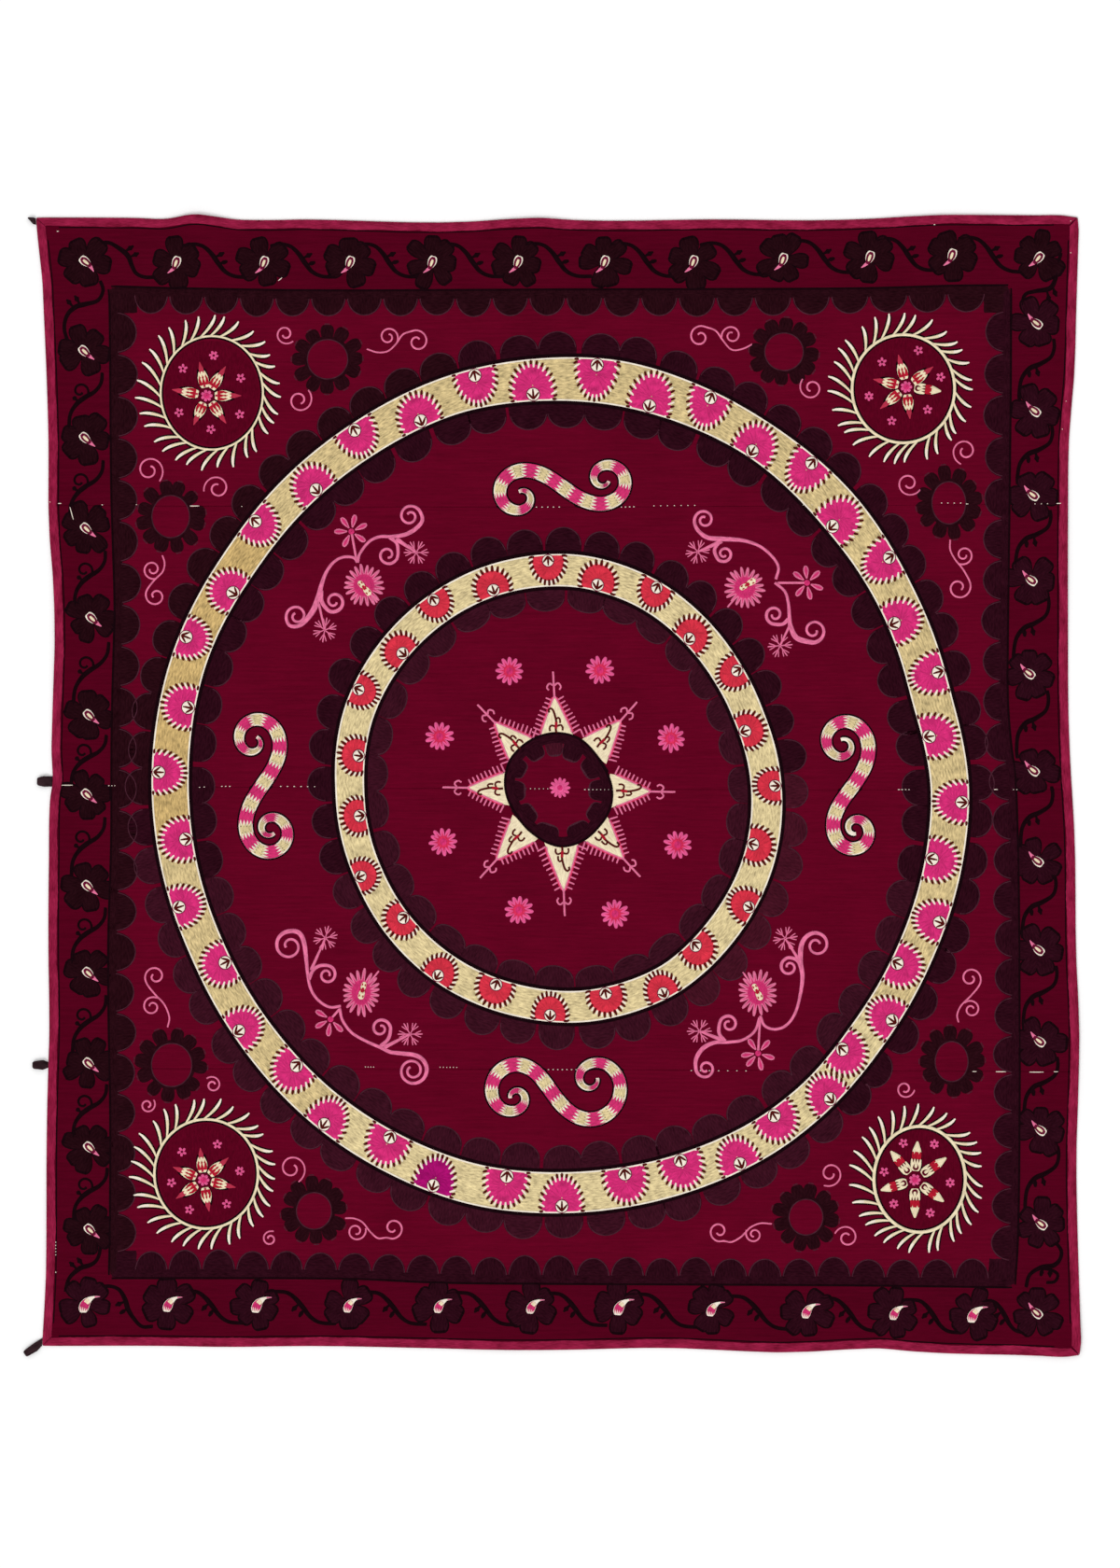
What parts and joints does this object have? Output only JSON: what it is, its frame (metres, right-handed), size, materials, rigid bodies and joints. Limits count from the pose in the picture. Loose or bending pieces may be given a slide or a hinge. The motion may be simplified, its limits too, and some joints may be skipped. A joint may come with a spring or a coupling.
{
  "type": "suzani embroidered textile",
  "caption": "Square cotton hanging of joined loom-width panels with a folded edge binding and tape hanging loops along one side, lying face up.",
  "frame": {"origin": "middle of the whole piece in plan, on the surface it lies on", "axes": "+Z out of the embroidered face, +Y towards the top edge, +X along the seams towards the edge without loops"},
  "size_m": [2.1528, 2.3259, 0.0108],
  "materials": {
    "ground_cloth": "burgundy cotton sateen, faintly ribbed across, soft sheen",
    "binding_tape": "raspberry red cotton tape, matt, stitched along its inner edge",
    "loop_tape": "black cotton tape, matt"
  },
  "bodies": {
    "root": {"panel_1": "ground_cloth", "panel_2": "ground_cloth", "panel_3": "ground_cloth", "panel_4": "ground_cloth", "binding_top": "binding_tape", "binding_right": "binding_tape", "binding_bottom": "binding_tape", "binding_left": "binding_tape", "hanging_loop_1": "loop_tape", "hanging_loop_2": "loop_tape", "hanging_loop_3": "loop_tape", "hanging_loop_4": "loop_tape"}
  },
  "joints": []
}
